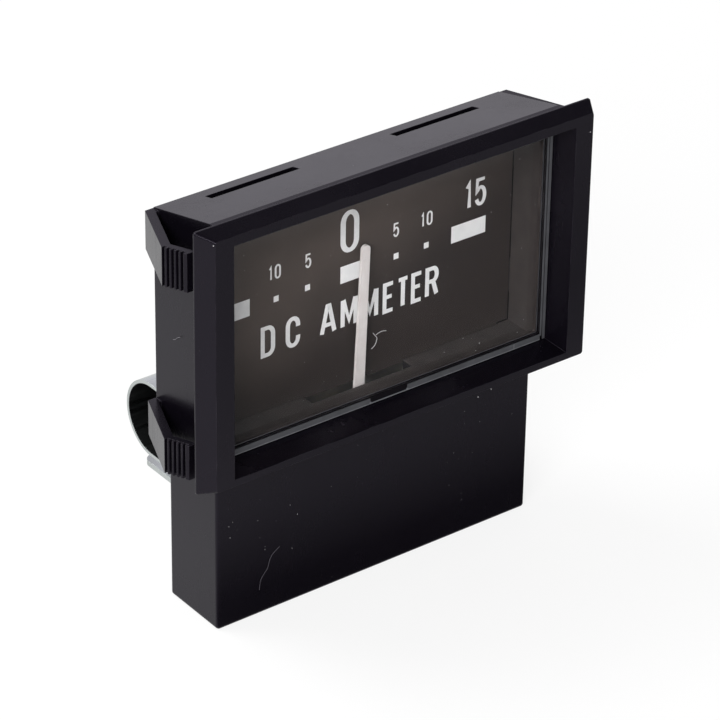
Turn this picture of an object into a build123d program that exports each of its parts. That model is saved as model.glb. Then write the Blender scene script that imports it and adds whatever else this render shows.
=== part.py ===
from build123d import *
import os
from math import asin, cos, radians, sin, tan

# A snap-in, centre-zero ammeter for a panel, in millimetres. X runs to the right across the
# face, Y from the face to the back, Z up. The origin lies in the middle plane of the panel,
# just behind the bezel's rear face, at the middle of the width and height of the front face.

os.makedirs("parts", exist_ok=True)

# Bezel: a flat face whose mitred bevels flare out to a rim
face_width = 60.0
face_height = 36.3
flare_side = 1.45
flare_top = 0.65
flare_bottom = 1.1
bevel_depth = 2.5
land_depth = 0.25
panel_thickness = 1.7
bezel_corner = 0.4
bezel_side = 2.8
bezel_edge = 1.2
opening_drop = 0.18
reveal_draft = 0.75

# Housing: a shallow upper body whose top is level at first and then slopes, over a narrower well
wall = 1.3
flange_side = 2.3
body_depth = 13.2
body_top_drop = 0.15
level_depth = 0.95
top_slope = 14.0
body_bottom_drop = 0.45
floor_thickness = 1.5
well_inset = 1.8
well_depth = 10.9
well_height = 25.6
edge_radius = 0.5

# Snap arms: rooted at the back, out to a bend, then in again along a toothed pad
upper_arm_height = 5.5
lower_arm_height = 5.1
upper_arm_drop = 3.15
lower_arm_rise = 0.5
arm_root_reach = 1.3
arm_bend_reach = 4.95
arm_end_reach = 3.4
arm_bend_depth = 4.2
arm_end_gap = 1.8
arm_thickness = 1.35
arm_web = 1.2
tooth_count = 5
tooth_depth = 0.5
groove_share = 0.62
last_tooth_share = 0.4

# Window
window_gap = 0.1
window_thickness = 1.2
window_step = 0.4
window_border = 1.1
notch_width = 6.0
notch_height = 0.8
ledge_width = 1.0
ledge_thickness = 0.8

# Dial
dial_thickness = 0.6
post_length = 2.4
dial_side_gap = 0.2
dial_overlap = 0.5
dial_corner = 0.5
dial_clearance = 0.2

# Rear cover and its latches
cover_thickness = 1.8
cover_gap = 0.1
post_side = 3.0
post_inset = 6.4
upper_post_drop = 9.0
lower_post_rise = 8.6
latch_x = 14.6
slot_width = 13.7
slot_length = 1.5
slot_setback = 2.3
latch_gap = 0.15
tongue_width = 12.6
tongue_thickness = 1.0
tongue_lead = 0.25
barb_height = 0.7
rib_width = 1.0
rib_height = 5.0
upper_rib_drop = 16.0
lower_rib_rise = 11.2

# Pivot and pointer
pivot_drop = 5.25
rest_lean = 2.2
pointer_thickness = 0.5
pointer_gap = 0.85
pointer_reach = 27.0
pointer_tip_width = 1.25
pointer_root_width = 1.65
pointer_ring = 2.3
tail_reach = 8.2
tail_width = 1.0
swing = 44.0
notch_side_gap = 0.9

# Spindle and bearings
spindle_radius = 0.5
cone_length = 0.75
cone_tip_radius = 0.08
cone_clearance = 0.12
spindle_length = 5.0
spindle_end_gap = 0.95
bearing_radius = 1.2
bearing_length = 2.0
bearing_overlap = 0.55
recess_radius = 0.55
driver_slot = 0.4
nut_flats = 3.8
nut_thickness = 0.55
bush_radius = 1.3
bush_flange_radius = 1.9
bush_flange = 0.7
fit_gap = 0.02

# Hub, vane, weights and magnet
hub_boss_radius = 1.1
hub_lead = 0.35
hub_flange_radius = 1.7
hub_flange = 0.5
vane_gap = 1.4
vane_thickness = 1.0
vane_length = 7.2
vane_width = 2.6
weight_radius = 0.9
weight_length = 1.6
weight_start = 6.2
magnet_length = 12.0
magnet_height = 3.2
magnet_depth = 2.0
magnet_drop = 6.6
clip_thickness = 0.4
clip_height = 2.0
clip_foot = 1.6
stop_radius = 5.0
stop_pin_radius = 0.5
stop_lead = 0.25

# Movement frame, bridge and their screws
sheet = 0.8
frame_width = 21.6
frame_above = 10.4
frame_below = 12.2
cheek_height = 8.0
foot_reach = 4.4
cheek_length = 6.1
bridge_thickness = 0.6
bridge_height = 4.8
bridge_screw_inset = 2.1
small_shank = 0.7
small_head_radius = 1.25
small_head = 0.5
frame_shank = 0.8
frame_head_radius = 1.4
frame_head = 0.7
frame_screw_inset = 2.1
screw_stand_out = 0.6
screw_end_gap = 0.3

# Strap, terminals and rivets on the back
strap_inset = 2.9
strap_thickness = 0.5
strap_radius = 5.65
strap_leg = 8.45
strap_rise = 1.45
upper_foot = 4.3
foot_margin = 0.4
strap_bend = 0.35
blade_width = 6.35
blade_thickness = 0.8
blade_length = 12.2
blade_drop = 2.8
blade_corner = 1.3
blade_hole_radius = 0.8
blade_hole_inset = 3.4
terminal_inset = 4.7
terminal_foot = 5.2
terminal_rivet_drop = 3.1
upper_rivet_rise = 2.3
rivet_radius = 1.1
rivet_head_radius = 1.75
rivet_head = 0.6

# Places that follow from the sizes above
rim_back = -panel_thickness / 2
rim_front = rim_back - land_depth
face_depth = bevel_depth - rim_front
opening_width = face_width - 2 * bezel_side
opening_height = face_height - 2 * bezel_edge
body_width = face_width - 2 * flange_side
body_top = face_height / 2 - body_top_drop
body_bottom = -face_height / 2 - body_bottom_drop
well_width = body_width - 2 * well_inset
well_bottom = body_bottom - well_height
arm_end_depth = rim_back + arm_end_gap
upper_arm_top = body_top - upper_arm_drop
lower_arm_top = body_bottom + lower_arm_rise + lower_arm_height
pivot_z = body_bottom - pivot_drop
strap_z = pivot_z + strap_rise
strap_width = well_width - 2 * strap_inset
terminal_x = strap_width / 2 - terminal_inset
rim_width = face_width + 2 * flare_side
rim_height = face_height + flare_top + flare_bottom
rim_rise = (flare_top - flare_bottom) / 2
pocket_width = opening_width - 2 * reveal_draft
pocket_height = opening_height - 2 * reveal_draft
cavity_front = window_thickness + ledge_thickness
half_body = body_width / 2
half_cavity = half_body - wall
half_well = well_width / 2
half_well_cavity = half_well - wall
post_x = half_cavity - post_inset
post_heights = (body_top - upper_post_drop, body_bottom + lower_post_rise)
upper_rib_z = body_top - upper_rib_drop
lower_rib_z = well_bottom + lower_rib_rise
floor_top = body_bottom + floor_thickness
cover_front = body_depth - cover_thickness
dial_back = cover_front - post_length
dial_front = dial_back - dial_thickness
floor_end = dial_front - dial_clearance
slot_back = body_depth - slot_setback
slot_front = slot_back - slot_length
well_front = body_depth - well_depth
well_floor = well_bottom + wall
well_back_of_front = well_front + wall
frame_front = cover_front - sheet
foot_front = cover_front - cheek_length
bridge_front = foot_front - bridge_thickness
pointer_back = dial_front - pointer_gap
pointer_front = pointer_back - pointer_thickness
spindle_back = cover_front - spindle_end_gap
spindle_front = spindle_back - spindle_length
bearing_back = spindle_front + bearing_overlap
bearing_front = bearing_back - bearing_length
hub_front = pointer_front - hub_lead
vane_back = frame_front - vane_gap
stop_front = pointer_front - stop_lead
bearing_clearance = spindle_radius + fit_gap
blade_top = strap_z - strap_radius - blade_drop
lower_foot = blade_drop + terminal_foot + foot_margin


def outer_top(y):
    """Height of the top at a depth y."""
    return body_top - max(0, y - level_depth) * tan(radians(top_slope))


def inner_top(y):
    return outer_top(y) - wall


def at_depth(y):
    """A sketch plane facing the front: its x is X and its y is Z. A positive extrude goes forward."""
    return Plane.XZ.offset(-y)


def rotor_plane(y):
    """The same plane centred on the pivot and turned with the pointer at rest."""
    lean = radians(rest_lean)
    return Plane(origin=(0, y, pivot_z), x_dir=(cos(lean), 0, -sin(lean)), z_dir=(0, -1, 0))


def along_y(x, z):
    return Axis((x, 0, z), (0, 1, 0))


def arm_outline(side):
    """Plan of one snap arm, from its root round the bend and along the teeth to its end."""
    bend = (half_body + arm_bend_reach, arm_bend_depth)
    end = (half_body + arm_end_reach, arm_end_depth)
    web_front = body_depth - arm_web
    root = (half_body + arm_root_reach, body_depth)
    slope = (bend[0] - root[0]) / (root[1] - bend[1])
    web_x = root[0] + arm_web * slope - arm_thickness
    points = [(half_cavity, body_depth), root, bend]
    for tooth in range(tooth_count):
        for share, cut in ((0, tooth_depth), (groove_share, tooth_depth), (groove_share, 0), (1, 0)):
            t = (tooth + share) / (tooth_count + last_tooth_share)
            x = bend[0] + (end[0] - bend[0]) * t - cut
            points.append((x, bend[1] + (end[1] - bend[1]) * t))
    points.append(end)
    points.append((end[0] - arm_thickness, end[1]))
    points.append((bend[0] - arm_thickness, bend[1]))
    points.append((max(web_x, half_body), web_front))
    points.append((half_cavity, web_front))
    return [(side * x, y) for x, y in points]


# Case: bezel, body, well, floor and snap arms in one moulding
with BuildPart() as case:
    with BuildSketch(at_depth(-face_depth)):
        RectangleRounded(face_width, face_height, bezel_corner)
    with BuildSketch(at_depth(rim_front)) as rim:
        with Locations((0, rim_rise)):
            RectangleRounded(rim_width, rim_height, bezel_corner)
    loft()
    extrude(rim.sketch, amount=-land_depth)
    with BuildSketch(Plane.YZ):
        with BuildLine():
            Polyline((rim_back, body_bottom), (rim_back, body_top), (level_depth, body_top),
                     (body_depth, outer_top(body_depth)), (body_depth, body_bottom), close=True)
        make_face()
    extrude(amount=half_body, both=True)
    with BuildSketch(Plane.YZ):
        with BuildLine():
            Polyline((well_front, body_bottom), (body_depth, body_bottom), (body_depth, well_bottom),
                     (well_front, well_bottom), close=True)
        make_face()
    extrude(amount=half_well, both=True)
    well_edges = case.edges().filter_by(Axis.Z).group_by(Axis.Z)[0]
    fillet(well_edges, radius=edge_radius)
    fillet(case.faces().sort_by(Axis.Z)[0].edges(), radius=edge_radius)
    for top, height in ((upper_arm_top, upper_arm_height), (lower_arm_top, lower_arm_height)):
        for side in (-1, 1):
            with BuildSketch(Plane.XY.offset(top - height)):
                with BuildLine():
                    Polyline(*arm_outline(side), close=True)
                make_face()
            extrude(amount=height)
    # The opening narrows to the window, which sits in a pocket on a ledge
    with BuildSketch(at_depth(-face_depth)):
        with Locations((0, -opening_drop)):
            Rectangle(opening_width, opening_height)
    with BuildSketch(at_depth(0)) as pocket:
        with Locations((0, -opening_drop)):
            Rectangle(pocket_width, pocket_height)
    loft(mode=Mode.SUBTRACT)
    extrude(pocket.sketch, amount=-window_thickness, mode=Mode.SUBTRACT)
    with BuildSketch(at_depth(window_thickness)):
        with Locations((0, -opening_drop)):
            Rectangle(pocket_width - 2 * ledge_width, pocket_height - 2 * ledge_width)
    extrude(amount=-ledge_thickness, mode=Mode.SUBTRACT)
    with BuildSketch(Plane.YZ):
        with BuildLine():
            Polyline((cavity_front, floor_top), (cavity_front, inner_top(cavity_front)),
                     (body_depth, inner_top(body_depth)), (body_depth, floor_top), close=True)
        make_face()
    extrude(amount=half_cavity, both=True, mode=Mode.SUBTRACT)
    with BuildSketch(Plane.YZ):
        with BuildLine():
            Polyline((well_back_of_front, well_floor), (well_back_of_front, body_bottom),
                     (floor_end, body_bottom), (floor_end, floor_top), (body_depth, floor_top),
                     (body_depth, well_floor), close=True)
        make_face()
    extrude(amount=half_well_cavity, both=True, mode=Mode.SUBTRACT)
    # The floor opens to the back where the pointer swings
    swing_half = (floor_top - pivot_z) * tan(radians(swing)) + pointer_root_width / 2 + notch_side_gap
    with BuildSketch(Plane.XY.offset(body_bottom)):
        with Locations((0, floor_end)):
            Rectangle(2 * swing_half, floor_end - pointer_front + notch_side_gap,
                      align=(Align.CENTER, Align.MAX))
    extrude(amount=floor_thickness, mode=Mode.SUBTRACT)
    # Latch slots in the top and the bottom
    with BuildSketch(Plane.XY.offset(well_bottom)):
        with Locations((-latch_x, slot_front), (latch_x, slot_front)):
            Rectangle(slot_width, slot_length, align=(Align.CENTER, Align.MIN))
    extrude(amount=wall, mode=Mode.SUBTRACT)
    with BuildSketch(Plane.XY.offset(body_top)):
        with Locations((-latch_x, slot_front), (latch_x, slot_front)):
            Rectangle(slot_width, slot_length, align=(Align.CENTER, Align.MIN))
    extrude(amount=inner_top(slot_back) - body_top - fit_gap, mode=Mode.SUBTRACT)
    # Ribs that stop the rear cover
    for side in (-1, 1):
        with BuildSketch(at_depth(cover_front)):
            with Locations((side * (half_cavity - rib_width / 2), upper_rib_z)):
                Rectangle(rib_width, rib_height)
        extrude(amount=cover_front - dial_back - dial_clearance)
        with BuildSketch(at_depth(cover_front)):
            with Locations((side * (half_well_cavity - rib_width / 2), lower_rib_z)):
                Rectangle(rib_width, rib_height)
        extrude(amount=cover_front - well_back_of_front)
case.part.label = "case"
export_step(case.part, "parts/case.step")

# Window: a clear plate with a lower border all round and a notch in its lower edge
window_width = pocket_width - 2 * window_gap
window_height = pocket_height - 2 * window_gap
with BuildPart() as window:
    with BuildSketch(at_depth(window_step)) as border:
        with Locations((0, -opening_drop)):
            Rectangle(window_width, window_height)
        with Locations((0, -opening_drop - window_height / 2)):
            Rectangle(notch_width, notch_height, align=(Align.CENTER, Align.MIN), mode=Mode.SUBTRACT)
    extrude(amount=window_step - window_thickness)
    with BuildSketch(at_depth(window_step)):
        with Locations((0, -opening_drop)):
            Rectangle(window_width - 2 * window_border, window_height - 2 * window_border)
    extrude(amount=window_step)
window.part.label = "window"
export_step(window.part, "parts/window.step")

# Dial: a thin plate on the rear cover's posts, closing the space behind the pointer
dial_top = inner_top(dial_back) - dial_side_gap
dial_bottom = floor_top - dial_overlap
with BuildPart() as dial_plate:
    with BuildSketch(at_depth(dial_back)):
        with Locations((0, dial_bottom)):
            Rectangle(2 * (half_well_cavity - dial_side_gap), dial_top - dial_bottom,
                      align=(Align.CENTER, Align.MIN))
        with Locations((0, floor_top + dial_side_gap)):
            Rectangle(2 * (half_cavity - dial_side_gap), dial_top - floor_top - dial_side_gap,
                      align=(Align.CENTER, Align.MIN))
    extrude(amount=dial_thickness)
    fillet(dial_plate.edges().filter_by(Axis.Y).group_by(Axis.Z)[-1], radius=dial_corner)
dial_plate.part.label = "dial_plate"
export_step(dial_plate.part, "parts/dial_plate.step")

# Rear cover: a stepped plate with four posts for the dial and four latch tongues
frame_top = pivot_z + frame_above
frame_bottom = pivot_z - frame_below
frame_screw_x = frame_width / 2 - frame_screw_inset
frame_screws_at = [(-frame_screw_x, frame_top - frame_screw_inset),
                   (frame_screw_x, frame_bottom + frame_screw_inset)]
lower_rivet_z = blade_top - terminal_rivet_drop
upper_rivet_z = strap_z + strap_radius + upper_rivet_rise
rivets_at = [(side * terminal_x, z) for side in (-1, 1) for z in (upper_rivet_z, lower_rivet_z)]
tongue_front = slot_front - tongue_lead
barb_back = slot_back - latch_gap
with BuildPart() as rear_cover:
    with BuildSketch(at_depth(body_depth)):
        with Locations((0, floor_top + cover_gap)):
            Rectangle(2 * (half_cavity - cover_gap), inner_top(body_depth) - floor_top - 2 * cover_gap,
                      align=(Align.CENTER, Align.MIN))
        with Locations((0, well_floor + cover_gap)):
            Rectangle(2 * (half_well_cavity - cover_gap), floor_top - well_floor,
                      align=(Align.CENTER, Align.MIN))
    extrude(amount=cover_thickness)
    with BuildSketch(at_depth(cover_front)):
        with Locations(*[(side * post_x, z) for side in (-1, 1) for z in post_heights]):
            Rectangle(post_side, post_side)
    extrude(amount=cover_front - dial_back)
    for side in (-1, 1):
        with BuildSketch(Plane.YZ.offset(side * latch_x)):
            with BuildLine():
                Polyline((cover_front, inner_top(cover_front) - latch_gap - tongue_thickness),
                         (cover_front, inner_top(cover_front) - latch_gap),
                         (barb_back, inner_top(barb_back) - latch_gap),
                         (barb_back, inner_top(barb_back) + barb_height),
                         (slot_front + latch_gap, inner_top(slot_front) - latch_gap),
                         (tongue_front, inner_top(tongue_front) - latch_gap),
                         (tongue_front, inner_top(tongue_front) - latch_gap - tongue_thickness), close=True)
            make_face()
            with BuildLine():
                Polyline((cover_front, well_floor + latch_gap + tongue_thickness),
                         (cover_front, well_floor + latch_gap),
                         (barb_back, well_floor + latch_gap),
                         (barb_back, well_floor - barb_height),
                         (slot_front + latch_gap, well_floor + latch_gap),
                         (tongue_front, well_floor + latch_gap),
                         (tongue_front, well_floor + latch_gap + tongue_thickness), close=True)
            make_face()
        extrude(amount=tongue_width / 2, both=True)
    with BuildSketch(at_depth(body_depth)):
        with Locations(*rivets_at):
            Circle(rivet_radius + fit_gap)
    extrude(amount=cover_thickness, mode=Mode.SUBTRACT)
    with BuildSketch(at_depth(cover_front)):
        with Locations(*frame_screws_at):
            Circle(frame_shank + fit_gap)
    extrude(amount=-(cover_thickness - screw_end_gap), mode=Mode.SUBTRACT)
rear_cover.part.label = "rear_cover"
export_step(rear_cover.part, "parts/rear_cover.step")

# Movement frame: a sheet plate on the cover with two cheeks that turn out into feet
half_frame = frame_width / 2
feet_x = half_frame + foot_reach - bridge_screw_inset
with BuildPart() as movement_frame:
    with BuildSketch(at_depth(cover_front)):
        with Locations((0, frame_bottom)):
            Rectangle(frame_width, frame_top - frame_bottom, align=(Align.CENTER, Align.MIN))
    extrude(amount=sheet)
    fillet(movement_frame.edges().filter_by(Axis.Y), radius=sheet)
    for side in (-1, 1):
        with BuildSketch(Plane.XY.offset(pivot_z)):
            with BuildLine():
                Polyline(*[(side * x, y) for x, y in (
                    (half_frame, cover_front), (half_frame, foot_front + sheet),
                    (half_frame + foot_reach, foot_front + sheet), (half_frame + foot_reach, foot_front),
                    (half_frame - sheet, foot_front), (half_frame - sheet, cover_front))], close=True)
            make_face()
        extrude(amount=cheek_height / 2, both=True)
    with BuildSketch(at_depth(cover_front)):
        with Locations((0, pivot_z)):
            Circle(bush_radius + fit_gap)
        with Locations(*frame_screws_at):
            Circle(frame_shank + fit_gap)
    extrude(amount=sheet, mode=Mode.SUBTRACT)
    with BuildSketch(at_depth(foot_front + sheet)):
        with Locations((-feet_x, pivot_z), (feet_x, pivot_z)):
            Circle(small_shank + fit_gap)
    extrude(amount=sheet, mode=Mode.SUBTRACT)
movement_frame.part.label = "movement_frame"
export_step(movement_frame.part, "parts/movement_frame.step")


def screw_outline(head_radius, head_front, head_back, shank_radius, end):
    """Half section of a cheese-head screw along Y, its head towards the front."""
    return [(0, head_front), (head_radius, head_front), (head_radius, head_back), (shank_radius, head_back),
            (shank_radius, end), (0, end)]


# Frame screws
with BuildPart() as frame_screws:
    for x, z in frame_screws_at:
        with BuildSketch(Plane.XY.offset(z)):
            with Locations((x, 0)):
                with BuildLine():
                    Polyline(*[(x + r, y) for r, y in screw_outline(
                        frame_head_radius, frame_front - frame_head, frame_front, frame_shank,
                        body_depth - 2 * screw_end_gap)], close=True)
                make_face()
        revolve(axis=along_y(x, z))
frame_screws.part.label = "frame_screws"
export_step(frame_screws.part, "parts/frame_screws.step")

# Front bridge across the frame's feet
with BuildPart() as front_bridge:
    with BuildSketch(at_depth(foot_front)):
        with Locations((0, pivot_z)):
            SlotOverall(frame_width + 2 * foot_reach, bridge_height)
            Circle(bearing_radius + fit_gap, mode=Mode.SUBTRACT)
        with Locations((-feet_x, pivot_z), (feet_x, pivot_z)):
            Circle(small_shank + fit_gap, mode=Mode.SUBTRACT)
    extrude(amount=bridge_thickness)
front_bridge.part.label = "front_bridge"
export_step(front_bridge.part, "parts/front_bridge.step")

# Bridge screws
with BuildPart() as bridge_screws:
    for x in (-feet_x, feet_x):
        with BuildSketch(Plane.XY.offset(pivot_z)):
            with BuildLine():
                Polyline(*[(x + r, y) for r, y in screw_outline(
                    small_head_radius, bridge_front - small_head, bridge_front, small_shank,
                    foot_front + sheet + screw_stand_out)], close=True)
            make_face()
        revolve(axis=along_y(x, pivot_z))
bridge_screws.part.label = "bridge_screws"
export_step(bridge_screws.part, "parts/bridge_screws.step")

# Front bearing: a slotted screw with a conical recess for the spindle
recess_end = spindle_front - cone_clearance
with BuildPart() as front_bearing:
    with BuildSketch(Plane.XY.offset(pivot_z)):
        with BuildLine():
            Polyline((0, bearing_front), (bearing_radius, bearing_front), (bearing_radius, bearing_back),
                     (recess_radius, bearing_back), (cone_tip_radius, recess_end), (0, recess_end),
                     close=True)
        make_face()
    revolve(axis=along_y(0, pivot_z))
    with BuildSketch(at_depth(bearing_front)):
        with Locations((0, pivot_z)):
            Rectangle(2 * bearing_radius, driver_slot)
    extrude(amount=-driver_slot, mode=Mode.SUBTRACT)
front_bearing.part.label = "front_bearing"
export_step(front_bearing.part, "parts/front_bearing.step")

# Lock nut of the front bearing
with BuildPart() as bearing_nut:
    with BuildSketch(at_depth(bridge_front)):
        with Locations((0, pivot_z)):
            RegularPolygon(nut_flats / 2, 6, major_radius=False)
            Circle(bearing_radius + fit_gap, mode=Mode.SUBTRACT)
    extrude(amount=nut_thickness)
bearing_nut.part.label = "bearing_nut"
export_step(bearing_nut.part, "parts/bearing_nut.step")

# Rear bearing: a flanged bush in the frame
bush_front = frame_front - bush_flange
with BuildPart() as rear_bearing:
    with BuildSketch(Plane.XY.offset(pivot_z)):
        with BuildLine():
            Polyline((0, cover_front), (bush_radius, cover_front), (bush_radius, frame_front),
                     (bush_flange_radius, frame_front), (bush_flange_radius, bush_front),
                     (recess_radius, bush_front), (cone_tip_radius, spindle_back + cone_clearance),
                     (0, spindle_back + cone_clearance), close=True)
        make_face()
    revolve(axis=along_y(0, pivot_z))
rear_bearing.part.label = "rear_bearing"
export_step(rear_bearing.part, "parts/rear_bearing.step")

# Spindle with two conical pivots
with BuildPart() as spindle:
    with BuildSketch(Plane.XY.offset(pivot_z)):
        with BuildLine():
            Polyline((0, spindle_front), (cone_tip_radius, spindle_front),
                     (spindle_radius, spindle_front + cone_length),
                     (spindle_radius, spindle_back - cone_length),
                     (cone_tip_radius, spindle_back), (0, spindle_back), close=True)
        make_face()
    revolve(axis=along_y(0, pivot_z))
spindle.part.label = "spindle"
export_step(spindle.part, "parts/spindle.step")

# Pointer: a tapered flat blade with a round tip, a ring round the hub and a tail
tip_centre = pointer_reach - pointer_tip_width / 2
with BuildPart() as pointer:
    with BuildSketch(rotor_plane(pointer_back)):
        with BuildLine():
            Polyline((pointer_root_width / 2, 0), (pointer_tip_width / 2, tip_centre),
                     (-pointer_tip_width / 2, tip_centre), (-pointer_root_width / 2, 0), close=True)
        make_face()
        with Locations((0, tip_centre)):
            Circle(pointer_tip_width / 2)
        Circle(pointer_ring)
        Rectangle(tail_width, tail_reach, align=(Align.CENTER, Align.MAX))
        Circle(hub_boss_radius + fit_gap, mode=Mode.SUBTRACT)
    extrude(amount=pointer_thickness)
pointer.part.label = "pointer"
export_step(pointer.part, "parts/pointer.step")

# Hub that carries the pointer on the spindle
with BuildPart() as pointer_hub:
    with BuildSketch(Plane.XY.offset(pivot_z)):
        with BuildLine():
            Polyline((bearing_clearance, hub_front), (hub_boss_radius, hub_front),
                     (hub_boss_radius, pointer_back), (hub_flange_radius, pointer_back),
                     (hub_flange_radius, pointer_back + hub_flange),
                     (bearing_clearance, pointer_back + hub_flange), close=True)
        make_face()
    revolve(axis=along_y(0, pivot_z))
pointer_hub.part.label = "pointer_hub"
export_step(pointer_hub.part, "parts/pointer_hub.step")

# Soft iron vane on the spindle
with BuildPart() as moving_vane:
    with BuildSketch(rotor_plane(vane_back)):
        SlotOverall(vane_length, vane_width)
        Circle(bearing_clearance, mode=Mode.SUBTRACT)
    extrude(amount=vane_thickness)
moving_vane.part.label = "moving_vane"
export_step(moving_vane.part, "parts/moving_vane.step")

# Balance weight on the tail of the pointer
lean = radians(rest_lean)
with BuildPart() as balance_weight:
    pointer_middle = (pointer_front + pointer_back) / 2
    tail_down = Vector(-sin(lean), 0, -cos(lean))
    seat = Vector(0, pointer_middle, pivot_z) + tail_down * weight_start
    with BuildSketch(Plane(origin=seat, x_dir=(cos(lean), 0, -sin(lean)), z_dir=tail_down)):
        Circle(weight_radius)
        Rectangle(tail_width + 2 * fit_gap, pointer_thickness + 2 * fit_gap, mode=Mode.SUBTRACT)
    extrude(amount=weight_length)
balance_weight.part.label = "balance_weight"
export_step(balance_weight.part, "parts/balance_weight.step")

# Bar magnet that holds the vane at zero, and the clip over it
magnet_z = pivot_z - magnet_drop
magnet_front = frame_front - magnet_depth
with BuildPart() as control_magnet:
    with BuildSketch(at_depth(frame_front)):
        with Locations((0, magnet_z)):
            Rectangle(magnet_length, magnet_height)
    extrude(amount=magnet_depth)
control_magnet.part.label = "control_magnet"
export_step(control_magnet.part, "parts/control_magnet.step")

half_magnet = magnet_length / 2 + fit_gap
clip_front = magnet_front - fit_gap - clip_thickness
with BuildPart() as magnet_clip:
    with BuildSketch(Plane.XY.offset(magnet_z)):
        with BuildLine():
            right_half = [(half_magnet + clip_thickness, clip_front),
                          (half_magnet + clip_thickness, frame_front - clip_thickness),
                          (half_magnet + clip_foot, frame_front - clip_thickness),
                          (half_magnet + clip_foot, frame_front), (half_magnet, frame_front),
                          (half_magnet, magnet_front - fit_gap)]
            left_half = [(-x, y) for x, y in reversed(right_half)]
            Polyline(*right_half, *left_half, close=True)
        make_face()
    extrude(amount=clip_height / 2, both=True)
magnet_clip.part.label = "magnet_clip"
export_step(magnet_clip.part, "parts/magnet_clip.step")

# Stop pins on both sides of the tail, staked to the frame
stop_angle = radians(swing) + asin((tail_width / 2 + stop_pin_radius) / stop_radius)
stops_at = [(side * stop_radius * sin(stop_angle), pivot_z - stop_radius * cos(stop_angle))
            for side in (-1, 1)]
with BuildPart() as stop_pins:
    with BuildSketch(at_depth(frame_front)):
        with Locations(*stops_at):
            Circle(stop_pin_radius)
    extrude(amount=frame_front - stop_front)
stop_pins.part.label = "stop_pins"
export_step(stop_pins.part, "parts/stop_pins.step")

# Strap: one sheet, foot, leg, half round, leg, foot
leg_end = body_depth + strap_leg
inner_radius = strap_radius - strap_thickness
foot_back = body_depth + strap_thickness
with BuildPart() as shunt_strap:
    with BuildSketch(Plane(origin=(0, 0, strap_z), x_dir=(0, 1, 0), z_dir=(1, 0, 0))):
        with BuildLine():
            Polyline((leg_end, strap_radius), (foot_back, strap_radius),
                     (foot_back, strap_radius + upper_foot), (body_depth, strap_radius + upper_foot),
                     (body_depth, inner_radius), (leg_end, inner_radius))
            ThreePointArc((leg_end, inner_radius), (leg_end + inner_radius, 0), (leg_end, -inner_radius))
            Polyline((leg_end, -inner_radius), (body_depth, -inner_radius),
                     (body_depth, -strap_radius - lower_foot), (foot_back, -strap_radius - lower_foot),
                     (foot_back, -strap_radius), (leg_end, -strap_radius))
            ThreePointArc((leg_end, -strap_radius), (leg_end + strap_radius, 0), (leg_end, strap_radius))
        make_face()
    extrude(amount=strap_width / 2, both=True)
    across = shunt_strap.edges().filter_by(Axis.X)
    inside_bends = [e for e in across if abs(e.center().Y - foot_back) < fit_gap
                    and abs(abs(e.center().Z - strap_z) - strap_radius) < fit_gap]
    outside_bends = [e for e in across if abs(e.center().Y - body_depth) < fit_gap
                     and abs(abs(e.center().Z - strap_z) - inner_radius) < fit_gap]
    fillet(inside_bends, radius=strap_bend)
    fillet(outside_bends, radius=strap_bend + strap_thickness)
    fillet(shunt_strap.edges().filter_by(Axis.Y).group_by(Axis.Z)[0], radius=blade_corner)
    fillet(shunt_strap.edges().filter_by(Axis.Y).group_by(Axis.Z)[-1], radius=blade_corner)
    with BuildSketch(at_depth(foot_back)):
        with Locations(*rivets_at):
            Circle(rivet_radius + fit_gap)
    extrude(amount=strap_thickness, mode=Mode.SUBTRACT)
shunt_strap.part.label = "shunt_strap"
export_step(shunt_strap.part, "parts/shunt_strap.step")

# Blade terminals, bent from sheet: a foot on the strap and a blade straight back
terminal_back = foot_back + blade_thickness
blade_end = foot_back + blade_length
for side, name in ((-1, "left_terminal"), (1, "right_terminal")):
    with BuildPart() as terminal:
        with BuildSketch(Plane.YZ.offset(side * terminal_x)):
            with BuildLine():
                Polyline((foot_back, blade_top), (blade_end, blade_top),
                         (blade_end, blade_top - blade_thickness),
                         (terminal_back, blade_top - blade_thickness),
                         (terminal_back, blade_top - terminal_foot),
                         (foot_back, blade_top - terminal_foot), close=True)
            make_face()
        extrude(amount=blade_width / 2, both=True)
        bends = terminal.edges().filter_by(Axis.X)
        outside_bend = [e for e in bends if e.center().Y < foot_back + fit_gap
                        and e.center().Z > blade_top - fit_gap]
        fillet(outside_bend, radius=blade_thickness)
        fillet(terminal.edges().filter_by(Axis.Z).group_by(Axis.Y)[-1], radius=blade_corner)
        with BuildSketch(Plane.XY.offset(blade_top)):
            with Locations((side * terminal_x, blade_end - blade_hole_inset)):
                Circle(blade_hole_radius)
        extrude(amount=-blade_thickness, mode=Mode.SUBTRACT)
        with BuildSketch(at_depth(terminal_back)):
            with Locations((side * terminal_x, lower_rivet_z)):
                Circle(rivet_radius + fit_gap)
        extrude(amount=blade_thickness, mode=Mode.SUBTRACT)
    terminal.part.label = name
    export_step(terminal.part, "parts/" + name + ".step")


def rivet_outline(front, back):
    """Half section of a rivet along Y, headed in front of one face and behind the other."""
    return [(0, front - rivet_head), (rivet_head_radius, front - rivet_head), (rivet_head_radius, front),
            (rivet_radius, front), (rivet_radius, back), (rivet_head_radius, back),
            (rivet_head_radius, back + rivet_head / 2),
            (rivet_head_radius - rivet_head / 2, back + rivet_head), (0, back + rivet_head)]


# Rivets: two through the strap's upper foot, two through the terminals and the lower foot
for name, z, back in (("strap_rivets", upper_rivet_z, foot_back),
                      ("terminal_rivets", lower_rivet_z, terminal_back)):
    with BuildPart() as rivets:
        for x in (-terminal_x, terminal_x):
            with BuildSketch(Plane.XY.offset(z)):
                with BuildLine():
                    Polyline(*[(x + r, y) for r, y in rivet_outline(cover_front, back)], close=True)
                make_face()
            revolve(axis=along_y(x, z))
    rivets.part.label = name
    export_step(rivets.part, "parts/" + name + ".step")
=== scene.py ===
import math
import random

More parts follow.
